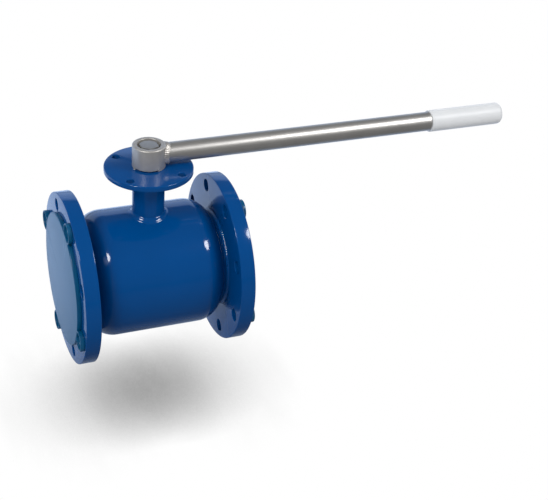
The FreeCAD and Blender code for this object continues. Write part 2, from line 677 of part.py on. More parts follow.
def build():
    body_shell()
    for side in (INLET, OUTLET):
        stub(side)
        flange(side)
        shell_weld(side)
        flange_weld(side)
        face_weld(side)
        seat(side)
        seat_carrier(side)
        disc_spring(side)
        seat_ring(side)
    stem_neck()
    actuator_pad()
    pad_weld()
    neck_weld()
    stop_pin()
    ball()
    stem()
    stem_rings()
    stem_seals()
    lever_hub()
    ring_on_stem("hub_washer", half("hub_washer_bore"), half("hub_washer_dia"), "dims.recess_floor",
                 "dims.recess_floor + dims.hub_washer_thick")
    hub_bolt()
    lever_tube()
    lever_grip()
    flange_cap(INLET, 45)
    flange_cap(OUTLET, 0)


def export():
    DOC.recompute()
    for item in DOC.Objects:
        bad = [state for state in item.State if state in ("Invalid", "Error")]
        assert not bad, f"{item.Label} is {bad}"
    for part in PARTS:
        assert not part.Shape.isNull() and part.Shape.isValid(), f"{part.Label} has no valid shape"
    os.makedirs("parts", exist_ok=True)
    for part in PARTS:
        part.Shape.exportStep(os.path.join("parts", part.Label + ".step"))
        print(f"{part.Label}: {len(part.Shape.Solids)} solid, {part.Shape.Volume / 1000:.2f} cm3")


build()
export()
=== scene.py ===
import json
import math

import bmesh
import bpy
from mathutils import Matrix, Quaternion, Vector, noise


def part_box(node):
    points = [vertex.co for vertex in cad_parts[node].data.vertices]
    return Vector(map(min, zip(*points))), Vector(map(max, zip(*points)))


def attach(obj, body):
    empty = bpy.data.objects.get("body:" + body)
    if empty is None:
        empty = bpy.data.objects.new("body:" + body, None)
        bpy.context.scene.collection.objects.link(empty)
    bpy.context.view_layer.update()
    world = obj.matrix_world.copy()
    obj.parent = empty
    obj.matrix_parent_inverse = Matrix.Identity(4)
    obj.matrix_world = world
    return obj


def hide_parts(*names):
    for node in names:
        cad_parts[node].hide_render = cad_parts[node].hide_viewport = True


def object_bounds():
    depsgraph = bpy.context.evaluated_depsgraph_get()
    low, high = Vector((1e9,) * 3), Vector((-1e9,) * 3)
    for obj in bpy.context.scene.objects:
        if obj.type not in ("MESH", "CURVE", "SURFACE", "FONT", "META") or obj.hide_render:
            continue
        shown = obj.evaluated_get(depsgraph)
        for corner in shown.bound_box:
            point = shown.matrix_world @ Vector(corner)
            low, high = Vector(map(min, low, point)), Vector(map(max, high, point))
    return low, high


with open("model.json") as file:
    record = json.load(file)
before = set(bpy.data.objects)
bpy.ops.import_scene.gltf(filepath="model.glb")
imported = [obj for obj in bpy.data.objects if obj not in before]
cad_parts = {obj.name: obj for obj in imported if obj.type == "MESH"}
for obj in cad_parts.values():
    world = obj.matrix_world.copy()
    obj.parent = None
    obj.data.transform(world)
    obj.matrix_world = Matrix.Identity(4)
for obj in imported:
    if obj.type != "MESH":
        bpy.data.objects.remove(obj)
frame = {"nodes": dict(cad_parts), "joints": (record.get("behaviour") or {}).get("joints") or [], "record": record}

CAD_BOX = [list(corner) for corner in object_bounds()]

# A flanged ball valve with a lever. Shapes are drawn in millimetres about the ball's centre, as the CAD
# draws them, with +X out of the outlet and +Z up the stem. settle() turns and moves them into the frame.

MM = 0.001
LEVER_TURN = next(joint for joint in frame["joints"] if joint["name"] == "lever_turn")
BALL_CENTRE = Vector((LEVER_TURN["pos_m"][0], 0, 0))
OUTLET, INLET = "outlet", "inlet"
FIXED, LEVER = "pressure_body", "lever"


def far(node):
    """A CAD node's highest corner about the ball's centre, in millimetres to a tenth."""
    return Vector([round(value / MM, 1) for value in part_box(node)[1] - BALL_CENTRE])


def near(node):
    """Its lowest corner."""
    return Vector([round(value / MM, 1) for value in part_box(node)[0] - BALL_CENTRE])


# ---- sizes, in millimetres ------------------------------------------------------------------------------
# A round thing is given by its radius. PIPE_IN and the like are its inside.

FACE = far("outlet_flange").x
RIM = far("outlet_flange").z
FLANGE_BACK = near("outlet_flange").x
RAISED = 3.0
FRONT = FACE - RAISED
RAISED_OUT = 92.0
BOLT_CIRCLE = 105.0
BOLT_HOLE = 9.0
BOLT_COUNT = 8
BOLT_START = 22.5  # degrees
HOLE_EDGE = 0.8
SERRATION = 1.5  # the gasket grooves' pitch: about twice as coarse as real ones, so that they show
SERRATION_DEEP = 0.25

PIPE = far("outlet_stub").y
PIPE_IN = PIPE - 4.0
PIPE_START, PIPE_END = near("outlet_stub").x, far("outlet_stub").x

SHELL = far("body_shell").y
SHELL_WALL = 6.0
SHOULDER = 36.0  # a little fuller than the CAD node's
STRAIGHT = 60.0  # where the shoulders begin

NECK = far("stem_neck").y
NECK_IN = NECK - 4.5
NECK_FOOT, PAD_TOP = near("stem_neck").z, far("stem_neck").z
PAD_UNDER = near("actuator_pad").z
PAD = far("actuator_pad").y
PAD_CIRCLE = 51.0
PAD_HOLE = 5.5
PAD_COUNT = 4
PAD_START = 45.0  # degrees

HUB = far("lever_hub").y
HUB_FOOT, HUB_TOP = near("lever_hub").z, far("lever_hub").z
RECESS = 16.5
RECESS_FLOOR = near("hub_washer").z
SQUARE = 22.0
NOTCH_IN, NOTCH_TOP = 19.7, 165.9
NOTCH_START, NOTCH_SWEEP = 187.4, 101.2  # degrees round the stem

LEVER_AXIS = (near("lever_tube").z + far("lever_tube").z) / 2
LEVER_OUT = far("lever_tube").y
LEVER_IN = LEVER_OUT - 2.0
LEVER_ROOT, LEVER_END = 10.0, far("lever_tube").x
GRIP_START, GRIP_END = near("lever_grip").x, far("lever_grip").x
GRIP = far("lever_grip").y

BALL = 75.0
BALL_BORE = 50.0
SLOT_WIDE, SLOT_LONG, SLOT_FLOOR = 16.6, 38.8, 63.2
BALANCE_HOLE = 3.0

WASHER_TOP = far("hub_washer").z
BOLT_TOP = far("hub_bolt").z
BOLT_FLAT = 12.0
BOLT_CHAMFER = 30.0  # degrees
BOLT_SHANK = 7.95
BOLT_END = near("hub_bolt").z

CAP_REST, CAP_FRONT = near("outlet_cap").x, far("outlet_cap").x
CAP_INSIDE = CAP_FRONT - 2.0
CAP_BORE, CAP_SKIRT = 92.1, 94.5
CUP, CUP_IN = 14.5, 12.5
CUP_FLOOR = CAP_REST + 2.0
CUP_COUNT = 4

# How far the corners of each piece are rounded.
PIPE_EDGE, RIM_EDGE, FACE_EDGE = 0.5, 1.2, 0.4
PAD_UNDER_EDGE, PAD_TOP_EDGE = 1.2, 1.5
HUB_FOOT_EDGE, HUB_TOP_EDGE, RECESS_EDGE = 0.5, 2.2, 0.9
BOLT_EDGE, SHANK_EDGE = 0.4, 1.0
GRIP_EDGE, GRIP_END_EDGE = 0.8, 5.5
SKIRT_EDGE, COVER_EDGE = 0.4, 1.2
CUP_REST_EDGE, CUP_RIM_EDGE, CUP_FLOOR_EDGE = 0.5, 0.8, 0.6

# Weld beads, as outlines about the corner that each one fills: along, out and the crown's rounding.
SHELL_BEAD = [(-2.0, -0.2), (-2.2, 4.6), (1.6, 3.2, 2.0), (3.2, 0.0), (3.2, -0.2)]
PLATE_BEAD = [(-4.2, -0.2), (-4.2, 0.0), (-2.7, 3.0, 2.0), (0.2, 4.6), (0.2, -0.2)]
SEAL_BEAD = [(-0.2, -4.0), (1.0, -3.7, 0.5), (4.0, -0.3), (4.0, 0.1), (-0.2, 0.1)]
PAD_BEAD = [(-4.2, -0.2), (-4.2, 0.0), (-1.6, 1.9, 1.6), (0.2, 4.4), (0.2, -0.2)]
NECK_BEAD = [(-2.0, -0.3), (5.4, -0.3), (5.4, 0.0), (1.9, 1.7, 2.0), (0.0, 5.4), (-2.0, 5.4)]
LEVER_BEAD = [(-1.0, -0.2), (-1.0, 1.8), (2.0, 1.5, 1.4), (6.0, 0.4, 1.0), (7.0, -0.2)]
# A ripple's length and depth, and how far out the bead's foot stays still.
RIPPLE, RIPPLE_DEEP, RIPPLE_FOOT = 3.2, 0.16, 0.4
LEVER_RIPPLE, LEVER_RIPPLE_DEEP, LEVER_RIPPLE_FOOT = 2.4, 0.14, 0.3
RIPPLE_STEPS = 6  # flats in one ripple
WANDER_LONG = 6  # the ripples' spacing and depth wander over this many ripples
WANDER = 2.0

ROUND_STEPS = 192  # flats in a full circle of the large pieces
SMALL_STEPS = 64
BEAD_STEPS = 240
LEVER_WELD_STEPS = 360
NOTCH_STEPS = 48
CORNER_STEPS = 4  # flats in a rounded corner, with one more for each whole millimetre of its radius
ARC_STEP = 3.0  # degrees
SHARP = 28.0  # an edge sharper than this, in degrees, isn't shaded smooth
BEAD_SHARP = 60.0
DOUBLES = 0.001  # points closer than this are one point
PAST = 1.0  # how far a cutting shape runs past what it cuts
ARC = "arc"


# ---- shaping ----------------------------------------------------------------------------------------------


def draw(bm, outline):
    """A closed outline in the XZ plane, of (along, out) points. A third number rounds that corner, and
    (ARC, centre, degrees) leads clockwise round a centre from the point before it."""
    first = last = None
    rounded = []
    for entry in outline:
        if entry[0] == ARC:
            angle = math.radians(entry[2])
            steps = max(2, round(abs(entry[2]) / ARC_STEP))
            centre = (entry[1][0], 0, entry[1][1])
            swept = bmesh.ops.spin(bm, geom=[last], cent=centre, axis=(0, 1, 0), angle=angle, steps=steps)
            last = swept["geom_last"][0]
            continue
        point = bm.verts.new((entry[0], 0, entry[1]))
        if last:
            bm.edges.new((last, point))
        first, last = first or point, point
        if len(entry) > 2:
            rounded.append((point, entry[2]))
    bm.edges.new((last, first))
    for point, radius in rounded:
        bmesh.ops.bevel(bm, geom=[point], offset=radius, offset_type="OFFSET", profile=0.5,
                        segments=CORNER_STEPS + int(radius), affect="VERTICES", material=-1)


def about(along, out, outline):
    """An outline given about a corner, moved to where that corner is."""
    return [(along + entry[0], out + entry[1], *entry[2:]) for entry in outline]


def turned(outline, axis="X", steps=ROUND_STEPS):
    """An outline turned full circle about the pipe's axis, or about the stem's."""
    bm = bmesh.new()
    draw(bm, outline)
    geometry = bm.verts[:] + bm.edges[:]
    bmesh.ops.spin(bm, geom=geometry, cent=(0, 0, 0), axis=(1, 0, 0), angle=math.tau, steps=steps,
                   use_merge=True)
    tidy(bm)
    if axis == "Z":
        turn(bm, "Y", -90)
    return bm


def tidy(bm):
    """Merge doubles, then turn every face outwards."""
    bmesh.ops.remove_doubles(bm, verts=bm.verts, dist=DOUBLES)
    bmesh.ops.recalc_face_normals(bm, faces=bm.faces)


def turn(bm, axis, degrees):
    """Turn a shape about an axis through the ball's centre."""
    around = {"X": (1, 0, 0), "Y": (0, 1, 0), "Z": (0, 0, 1)}[axis]
    matrix = Quaternion(around, math.radians(degrees)).to_matrix()
    bmesh.ops.rotate(bm, verts=bm.verts, cent=(0, 0, 0), matrix=matrix)


def move(bm, x=0, y=0, z=0):
    """Move a whole shape."""
    bmesh.ops.translate(bm, verts=bm.verts, vec=(x, y, z))


def ring_of(bm, count, axis):
    """Repeat a shape evenly round an axis."""
    around = {"X": (1, 0, 0), "Z": (0, 0, 1)}[axis]
    everything = bm.verts[:] + bm.edges[:] + bm.faces[:]
    bmesh.ops.spin(bm, geom=everything, cent=(0, 0, 0), axis=around, angle=math.tau * (count - 1) / count,
                   steps=count - 1, use_duplicate=True)


def block(across, deep, low, high):
    """A box centred on the stem, from one height to another."""
    bm = bmesh.new()
    bmesh.ops.create_cube(bm, size=1)
    bmesh.ops.scale(bm, verts=bm.verts, vec=(across, deep, high - low))
    move(bm, z=(low + high) / 2)
    return bm


def hole_cutter(low, high, radius, axis):
    """A round cutter with a flare at each end, which leaves a small chamfer on the hole's edges."""
    flare = radius + HOLE_EDGE + PAST
    return turned([
        (low - PAST, 0), (low - PAST, flare), (low + HOLE_EDGE, radius), (high - HOLE_EDGE, radius),
        (high + PAST, flare), (high + PAST, 0),
    ], axis, SMALL_STEPS)


def work_object(bm):
    """A shape as an object, for the boolean modifiers."""
    mesh = bpy.data.meshes.new("work")
    bm.to_mesh(mesh)
    bm.free()
    item = bpy.data.objects.new("work", mesh)
    bpy.context.scene.collection.objects.link(item)
    return item


def combined(base, *changes):
    """A shape after exact booleans, each given as (operation, shape)."""
    item = work_object(base)
    tools = [work_object(tool) for _, tool in changes]
    for (operation, _), tool in zip(changes, tools):
        change = item.modifiers.new(operation, "BOOLEAN")
        change.operation = operation
        change.solver = "EXACT"
        change.object = tool
    bpy.context.view_layer.update()
    shaped = item.evaluated_get(bpy.context.evaluated_depsgraph_get())
    bm = bmesh.new()
    bm.from_mesh(shaped.data)
    for used in [item] + tools:
        bpy.data.objects.remove(used)
    return bm


def settle(name, bm, finish, body, nodes=(), side=OUTLET, sharp=SHARP):
    """Make a shape a piece: turned for the inlet, moved into the frame, and given its finish and body."""
    if side == INLET:
        turn(bm, "Z", 180)
    tidy(bm)
    bmesh.ops.scale(bm, verts=bm.verts, vec=(MM, MM, MM))
    move(bm, *BALL_CENTRE)
    for face in bm.faces:
        face.smooth = True
    mesh = bpy.data.meshes.new(name)
    bm.to_mesh(mesh)
    bm.free()
    mesh.set_sharp_from_angle(angle=math.radians(sharp))
    mesh.materials.append(finish)
    piece = bpy.data.objects.new(name, mesh)
    bpy.context.scene.collection.objects.link(piece)
    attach(piece, body)
    if nodes:
        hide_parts(*nodes)


def smoothed(node, finish, body):
    """A copy of a CAD node with its triangles joined, so that its round faces shade round."""
    bm = bmesh.new()
    bm.from_mesh(frame["nodes"][node].data)
    move(bm, *-BALL_CENTRE)
    bmesh.ops.scale(bm, verts=bm.verts, vec=(1 / MM, 1 / MM, 1 / MM))
    settle(node + "_smooth", bm, finish, body, [node])


# ---- finishes ---------------------------------------------------------------------------------------------


def srgb(code):
    """A hex sRGB colour as linear red, green, blue and full alpha."""
    parts = [int(code[i:i + 2], 16) / 255 for i in (0, 2, 4)]
    return [part / 12.92 if part <= 0.04045 else ((part + 0.055) / 1.055) ** 2.4 for part in parts] + [1]


def add(tree, kind, inputs=None, **settings):
    """Add a shader node. Inputs are values or the sockets to link, by name or number."""
    item = tree.nodes.new("ShaderNode" + kind)
    for word, value in settings.items():
        setattr(item, word, value)
    for word, value in (inputs or {}).items():
        if isinstance(value, bpy.types.NodeSocket):
            tree.links.new(value, item.inputs[word])
        else:
            item.inputs[word].default_value = value
    return item


def new_finish(name, colour, **settings):
    """A material with its Principled shader set, and its object coordinates centred on the ball."""
    material = bpy.data.materials.new(name)
    material.use_nodes = True
    tree = material.node_tree
    shader = tree.nodes["Principled BSDF"]
    shader.inputs["Base Color"].default_value = srgb(colour)
    for word, value in settings.items():
        shader.inputs[word.replace("_", " ")].default_value = value
    place = add(tree, "TexCoord").outputs["Object"]
    centred = add(tree, "Mapping", {"Vector": place, "Location": -BALL_CENTRE}).outputs["Vector"]
    return material, tree, shader, centred


def shade_variation(tree, shader, where, dark, light, patch_mm):
    """Let the base colour drift between two shades over patches of a real size."""
    drift = add(tree, "TexNoise", {"Vector": where, "Scale": 1 / (patch_mm * MM)}).outputs["Fac"]
    shade = add(tree, "Mix", {"Factor": drift, 6: srgb(dark), 7: srgb(light)}, data_type="RGBA")
    tree.links.new(shade.outputs[2], shader.inputs["Base Color"])


def roughness_between(tree, shader, height, low, high):
    """Let the roughness follow a pattern's height."""
    spread = add(tree, "MapRange", {"Value": height, "To Min": low, "To Max": high})
    tree.links.new(spread.outputs["Result"], shader.inputs["Roughness"])


def relief(tree, shader, height, depth_mm):
    """Bump from a height of 0 to 1 that stands for a real depth."""
    bump = add(tree, "Bump", {"Height": height, "Distance": depth_mm * MM, "Strength": 1.0})
    tree.links.new(bump.outputs["Normal"], shader.inputs["Normal"])


def stretched_noise(tree, where, along_mm, across_mm):
    """Grain lines along X: long in that direction and fine across it."""
    scale = (1 / (along_mm * MM), 1 / (across_mm * MM), 1 / (across_mm * MM))
    grain = add(tree, "Mapping", {"Vector": where, "Scale": scale}).outputs["Vector"]
    return add(tree, "TexNoise", {"Vector": grain, "Scale": 1.0, "Detail": 3.0}).outputs["Fac"]


def lathe_noise(tree, where, pitch_mm, axis):
    """Lathe lines: a height that depends on the distance from an axis and the place along it."""
    parts = add(tree, "SeparateXYZ", {"Vector": where}).outputs
    along = parts[axis]
    first, second = [parts[name] for name in "XYZ" if name != axis]
    flat = add(tree, "CombineXYZ", {"X": first, "Y": second}).outputs["Vector"]
    out = add(tree, "VectorMath", {0: flat}, operation="LENGTH").outputs["Value"]
    both = add(tree, "CombineXYZ", {"X": along, "Y": out}).outputs["Vector"]
    lines = add(tree, "TexNoise", {"Vector": both, "Scale": 1 / (pitch_mm * MM), "Detail": 3.0})
    return lines.outputs["Fac"]


def blue_enamel():
    """Sprayed alkyd enamel on welded steel: an even deep blue under a wet gloss, with faint orange peel.
    Real peel is 1 to 3 mm across, and it is drawn a little coarser so that it shows."""
    material, tree, shader, where = new_finish("blue_enamel", "003F7B", Roughness=0.09, IOR=1.5)
    shade_variation(tree, shader, where, "003E78", "004280", patch_mm=60)
    peel = add(tree, "TexNoise", {"Vector": where, "Scale": 1 / (4 * MM)}).outputs["Fac"]
    roughness_between(tree, shader, peel, 0.08, 0.13)
    relief(tree, shader, peel, depth_mm=0.02)
    return material


def brushed_tube():
    """Drawn stainless tube, linished lengthwise: soft bright bands that run the length of the lever.
    Real scratches are under 0.1 mm wide, and they are drawn coarser."""
    settings = {"Metallic": 0.85, "Roughness": 0.42}
    material, tree, shader, where = new_finish("brushed_stainless_tube", "C6C4C1", **settings)
    shade_variation(tree, shader, where, "BFBDBA", "CDCBC8", patch_mm=25)
    grain = stretched_noise(tree, where, along_mm=30, across_mm=0.35)
    roughness_between(tree, shader, grain, 0.36, 0.48)
    relief(tree, shader, grain, depth_mm=0.012)
    return material


def turned_hub():
    """Stainless bar turned on a lathe and lightly blasted: fine rings about the stem, a soft warm grey.
    A real feed is about 0.15 mm a turn, and it is drawn coarser."""
    settings = {"Metallic": 0.75, "Roughness": 0.48}
    material, tree, shader, where = new_finish("turned_stainless_hub", "C4C1BD", **settings)
    shade_variation(tree, shader, where, "BCB9B5", "CCC9C5", patch_mm=9)
    rings = lathe_noise(tree, where, 0.5, "Z")
    roughness_between(tree, shader, rings, 0.42, 0.54)
    relief(tree, shader, rings, depth_mm=0.02)
    return material


def fastener_steel():
    """Cold headed stainless fasteners: a duller grey with small smooth facets.
    Real tool marks are about 0.3 mm across, and they are drawn coarser."""
    settings = {"Metallic": 0.85, "Roughness": 0.4}
    material, tree, shader, where = new_finish("headed_stainless_bolt", "BDBCBA", **settings)
    shade_variation(tree, shader, where, "B3B2B0", "C7C6C4", patch_mm=3)
    marks = add(tree, "TexNoise", {"Vector": where, "Scale": 1 / (0.8 * MM), "Detail": 4.0}).outputs["Fac"]
    roughness_between(tree, shader, marks, 0.34, 0.48)
    relief(tree, shader, marks, depth_mm=0.015)
    return material


def tig_weld():
    """A bare TIG weld in stainless, brushed clean: about as bright as the tube, with a warmer and more
    mottled skin. The mottling is a little coarser than a real one."""
    settings = {"Metallic": 0.75, "Roughness": 0.42}
    material, tree, shader, where = new_finish("bare_tig_weld", "C2BFBB", **settings)
    shade_variation(tree, shader, where, "C8C5C1", "B7B2AC", patch_mm=5)
    skin = add(tree, "TexNoise", {"Vector": where, "Scale": 1 / (0.6 * MM), "Detail": 3.0}).outputs["Fac"]
    roughness_between(tree, shader, skin, 0.34, 0.48)
    relief(tree, shader, skin, depth_mm=0.02)
    return material


def machined_face():
    """A flange face left bare: turned steel, a plain grey with fine rings between the gasket grooves.
    The rings are about twice as coarse as real ones."""
    material, tree, shader, where = new_finish("machined_flange_face", "8E8D8B", Metallic=1.0, Roughness=0.35)
    shade_variation(tree, shader, where, "858482", "979694", patch_mm=12)
    rings = lathe_noise(tree, where, 0.4, "X")
    roughness_between(tree, shader, rings, 0.28, 0.42)
    relief(tree, shader, rings, depth_mm=0.02)
    return material


def polished_ball():
    """The ball: stainless ground and polished to a mirror, with hair-fine lapping marks.
    Real marks are far finer than 0.5 mm, and they are drawn coarser."""
    material, tree, shader, where = new_finish("polished_ball", "C6C5C3", Metallic=1.0, Roughness=0.07)
    lap = stretched_noise(tree, where, along_mm=12, across_mm=0.5)
    roughness_between(tree, shader, lap, 0.05, 0.12)
    relief(tree, shader, lap, depth_mm=0.002)
    return material


def spring_steel():
    """Tempered spring steel: dark blue-grey with a faint oil sheen. The rolling lines are drawn coarse."""
    material, tree, shader, where = new_finish("tempered_spring_steel", "5A5C61", Metallic=1.0, Roughness=0.4)
    shade_variation(tree, shader, where, "52545A", "676A70", patch_mm=8)
    rings = lathe_noise(tree, where, 0.6, "X")
    roughness_between(tree, shader, rings, 0.32, 0.46)
    return material


def turned_steel():
    """Plain turned stainless, for the seat carriers and the stem: a clean mid grey.
    A real feed is about 0.15 mm a turn, and it is drawn coarser."""
    material, tree, shader, where = new_finish("turned_stainless", "A9A8A6", Metallic=1.0, Roughness=0.3)
    shade_variation(tree, shader, where, "A2A19F", "B3B2B0", patch_mm=10)
    rings = lathe_noise(tree, where, 0.5, "X")
    roughness_between(tree, shader, rings, 0.24, 0.38)
    relief(tree, shader, rings, depth_mm=0.015)
    return material


def moulded_plastic(name, dark, light, roughness, patch_mm, subsurface=0.0):
    """A plastic or rubber part, with slight drift in its shade and a fine skin drawn at 0.9 mm, which is
    several times coarser than a real mould's texture."""
    material, tree, shader, where = new_finish(
        name, light, Roughness=roughness, IOR=1.49, Subsurface_Weight=subsurface,
        Subsurface_Radius=(1.0, 1.0, 1.0), Subsurface_Scale=1.5 * MM,
    )
    shade_variation(tree, shader, where, dark, light, patch_mm)
    skin = add(tree, "TexNoise", {"Vector": where, "Scale": 1 / (0.9 * MM), "Detail": 3.0}).outputs["Fac"]
    roughness_between(tree, shader, skin, roughness * 0.85, roughness * 1.15)
    relief(tree, shader, skin, depth_mm=0.01)
    return material


def bearing_bronze():
    """Cast tin bronze, turned: warm brown-yellow with lathe lines, drawn coarser than real ones."""
    settings = {"Metallic": 1.0, "Roughness": 0.32}
    material, tree, shader, where = new_finish("turned_bearing_bronze", "B98A4A", **settings)
    shade_variation(tree, shader, where, "A97B3F", "C2955A", patch_mm=6)
    rings = lathe_noise(tree, where, 0.4, "Z")
    roughness_between(tree, shader, rings, 0.26, 0.4)
    return material


ENAMEL = blue_enamel()
TUBE_STEEL = brushed_tube()
HUB_STEEL = turned_hub()
BOLT_STEEL = fastener_steel()
WELD_STEEL = tig_weld()
FACE_STEEL = machined_face()
BALL_STEEL = polished_ball()
PLAIN_STEEL = turned_steel()
# Injection moulded polyethylene: satin and a little translucent, so that it looks softer than the enamel.
COVER_PLASTIC = moulded_plastic("polyethylene_cover", "004A70", "00527C", 0.3, 40, 0.15)
# Dipped vinyl: an off-white with a dull sheen and soft shading at its round end.
GRIP_PLASTIC = moulded_plastic("white_vinyl_sleeve", "C8CACD", "D0D2D4", 0.42, 30, 0.1)
# Fluoroplastic filled with carbon, machined: a waxy dark grey-brown.
SEAT_PLASTIC = moulded_plastic("carbon_filled_fluoroplastic", "3E3B37", "4A4641", 0.5, 4)
# Unfilled fluoroplastic: waxy, milky white.
PACKING_PLASTIC = moulded_plastic("white_fluoroplastic", "D8D8D4", "E4E4E1", 0.45, 6, 0.1)
# Moulded nitrile rubber: near black, with a dull sheen.
SEAL_RUBBER = moulded_plastic("black_nitrile_rubber", "101010", "1A1A1A", 0.55, 3)

FINISH_OF_SLOT = {
    "blue_enamel": ENAMEL,
    "stainless": PLAIN_STEEL,
    "fastener_steel": BOLT_STEEL,
    "ball_steel": BALL_STEEL,
    "spring_steel": spring_steel(),
    "seat_plastic": SEAT_PLASTIC,
    "packing_plastic": PACKING_PLASTIC,
    "bearing_bronze": bearing_bronze(),
    "seal_rubber": SEAL_RUBBER,
    "white_sleeve": GRIP_PLASTIC,
    "cover_plastic": COVER_PLASTIC,
}

for part in frame["record"]["subparts"]:  # every CAD node shows its own slot's finish
    mesh = frame["nodes"][part["node"]].data
    mesh.materials.clear()
    mesh.materials.append(FINISH_OF_SLOT[part["material_slot"]])


# ---- pressure body -----------------------------------------------------------------------------------------


def shell():
    """A tube drawn in at both ends, with the neck's hole through its top. Gives where its ends are."""
    centre_out = SHELL - SHOULDER
    rise = PIPE - centre_out
    tight = SHOULDER - SHELL_WALL
    outer_turn = 90 - math.degrees(math.asin(rise / SHOULDER))
    inner_turn = 90 - math.degrees(math.asin(rise / tight))
    outer_end = STRAIGHT + math.sqrt(SHOULDER**2 - rise**2)
    inner_end = STRAIGHT + math.sqrt(tight**2 - rise**2)
    body = turned([
        (-outer_end, PIPE), (ARC, (-STRAIGHT, centre_out), outer_turn), (STRAIGHT, SHELL),
        (ARC, (STRAIGHT, centre_out), outer_turn), (inner_end, PIPE),
        (ARC, (STRAIGHT, centre_out), -inner_turn), (-STRAIGHT, SHELL - SHELL_WALL),
        (ARC, (-STRAIGHT, centre_out), -inner_turn),
    ])
    hole = turned([(0, 0), (0, NECK), (SHELL + PAST, NECK), (SHELL + PAST, 0)], "Z")
    settle("drawn_shell", combined(body, ("DIFFERENCE", hole)), ENAMEL, FIXED, ["body_shell"])
    return outer_end


def ripple(bm, root, length, deep, foot):
    """Weld ripples: each point beyond the bead's still foot moves in or out along its own normal."""
    bm.normal_update()
    count = round(math.tau * root / length)
    moves = []
    for vert in bm.verts:
        if math.hypot(vert.co.y, vert.co.z) < root + foot:
            continue
        angle = math.atan2(vert.co.y, vert.co.z)
        wander = noise.noise(vert.co / (WANDER_LONG * length)) * WANDER
        moves.append((vert, vert.normal * deep * (math.sin(angle * count + wander) + wander / 2)))
    for vert, shift in moves:
        vert.co += shift


def bead(name, outline, side, node, deep=RIPPLE_DEEP):
    """A painted weld bead round the pipe, finely rippled."""
    count = round(math.tau * PIPE / RIPPLE)
    bm = turned(outline, steps=count * RIPPLE_STEPS)
    ripple(bm, PIPE, RIPPLE, deep, RIPPLE_FOOT)
    settle(name, bm, ENAMEL, FIXED, [node], side, BEAD_SHARP)


def pipe_end(side, shell_end):
    """A pipe stub with its flange and three weld beads."""
    settle(f"{side}_pipe", turned([
        (PIPE_START, PIPE_IN, PIPE_EDGE), (PIPE_START, PIPE, PIPE_EDGE),
        (PIPE_END, PIPE, PIPE_EDGE), (PIPE_END, PIPE_IN, PIPE_EDGE),
    ]), ENAMEL, FIXED, [f"{side}_stub"], side)

    plate = turned([(FLANGE_BACK, PIPE), (FLANGE_BACK, RIM, RIM_EDGE), (FRONT, RIM, RIM_EDGE), (FRONT, PIPE)])
    holes = hole_cutter(FLANGE_BACK, FRONT, BOLT_HOLE, "X")
    move(holes, z=BOLT_CIRCLE)
    turn(holes, "X", BOLT_START)
    ring_of(holes, BOLT_COUNT, "X")
    settle(f"{side}_flange_plate", combined(plate, ("DIFFERENCE", holes)), ENAMEL, FIXED,
           [f"{side}_flange"], side)

    grooves = []
    out = RAISED_OUT - SERRATION
    while out > PIPE + SERRATION:
        grooves += [(FACE, out + SERRATION / 2), (FACE - SERRATION_DEEP, out)]
        out -= SERRATION
    settle(f"{side}_raised_face", turned(
        [(FRONT, PIPE), (FRONT, RAISED_OUT), (FACE, RAISED_OUT, FACE_EDGE)] + grooves + [(FACE, PIPE)]
    ), FACE_STEEL, FIXED, [f"{side}_flange"], side)

    bead(f"{side}_shell_bead", about(shell_end, PIPE, SHELL_BEAD), side, f"{side}_stub_weld")
    bead(f"{side}_plate_bead", about(FLANGE_BACK, PIPE, PLATE_BEAD), side, f"{side}_flange_weld")
    bead(f"{side}_seal_bead", about(PIPE_END, PIPE, SEAL_BEAD), side, f"{side}_face_weld", deep=0.0)


def neck_and_pad():
    """The round extension under the lever, the pad on top of it, and the welds at both its ends."""
    neck = turned([(NECK_FOOT, NECK_IN), (NECK_FOOT, NECK), (PAD_TOP, NECK), (PAD_TOP, NECK_IN)], "Z")
    settle("neck_tube", neck, ENAMEL, FIXED, ["stem_neck"])

    pad = turned([
        (PAD_UNDER, NECK), (PAD_UNDER, PAD, PAD_UNDER_EDGE), (PAD_TOP, PAD, PAD_TOP_EDGE), (PAD_TOP, NECK),
    ], "Z")
    holes = hole_cutter(PAD_UNDER, PAD_TOP, PAD_HOLE, "Z")
    move(holes, x=PAD_CIRCLE)
    turn(holes, "Z", PAD_START)
    ring_of(holes, PAD_COUNT, "Z")
    drilled = combined(pad, ("DIFFERENCE", holes))
    settle("mounting_pad", drilled, ENAMEL, FIXED, ["actuator_pad"])

    under = turned(about(PAD_UNDER, NECK, PAD_BEAD), "Z", BEAD_STEPS)
    settle("pad_bead", under, ENAMEL, FIXED, ["pad_weld"], sharp=BEAD_SHARP)

    saddle = turned(about(0.0, NECK, NECK_BEAD), "Z", BEAD_STEPS)
    for vert in saddle.verts:  # down onto the shell's round
        vert.co.z += math.sqrt(SHELL**2 - vert.co.y**2)
    settle("neck_bead", saddle, ENAMEL, FIXED, ["neck_weld"], sharp=BEAD_SHARP)


shell_end = shell()
for side in (INLET, OUTLET):
    pipe_end(side, shell_end)
neck_and_pad()


# ---- ball and seats ----------------------------------------------------------------------------------------


def ball():
    """The ball with its bore, the slot for the stem's tang, and a small balance hole."""
    reach = math.sqrt(BALL**2 - BALL_BORE**2)
    sweep = 180 - 2 * math.degrees(math.asin(BALL_BORE / BALL))
    body = turned([(-reach, BALL_BORE), (ARC, (0, 0), sweep)])
    slot = block(SLOT_WIDE, SLOT_LONG, SLOT_FLOOR, BALL + PAST)
    drain = turned([(0, 0), (0, BALANCE_HOLE), (BALL, BALANCE_HOLE), (BALL, 0)], "Z", SMALL_STEPS)
    settle("polished_ball", combined(body, ("DIFFERENCE", slot), ("DIFFERENCE", drain)), BALL_STEEL, "ball",
           ["ball"])


ball()
for side in (INLET, OUTLET):
    smoothed(f"{side}_seat", SEAT_PLASTIC, FIXED)
    smoothed(f"{side}_seat_carrier", PLAIN_STEEL, FIXED)


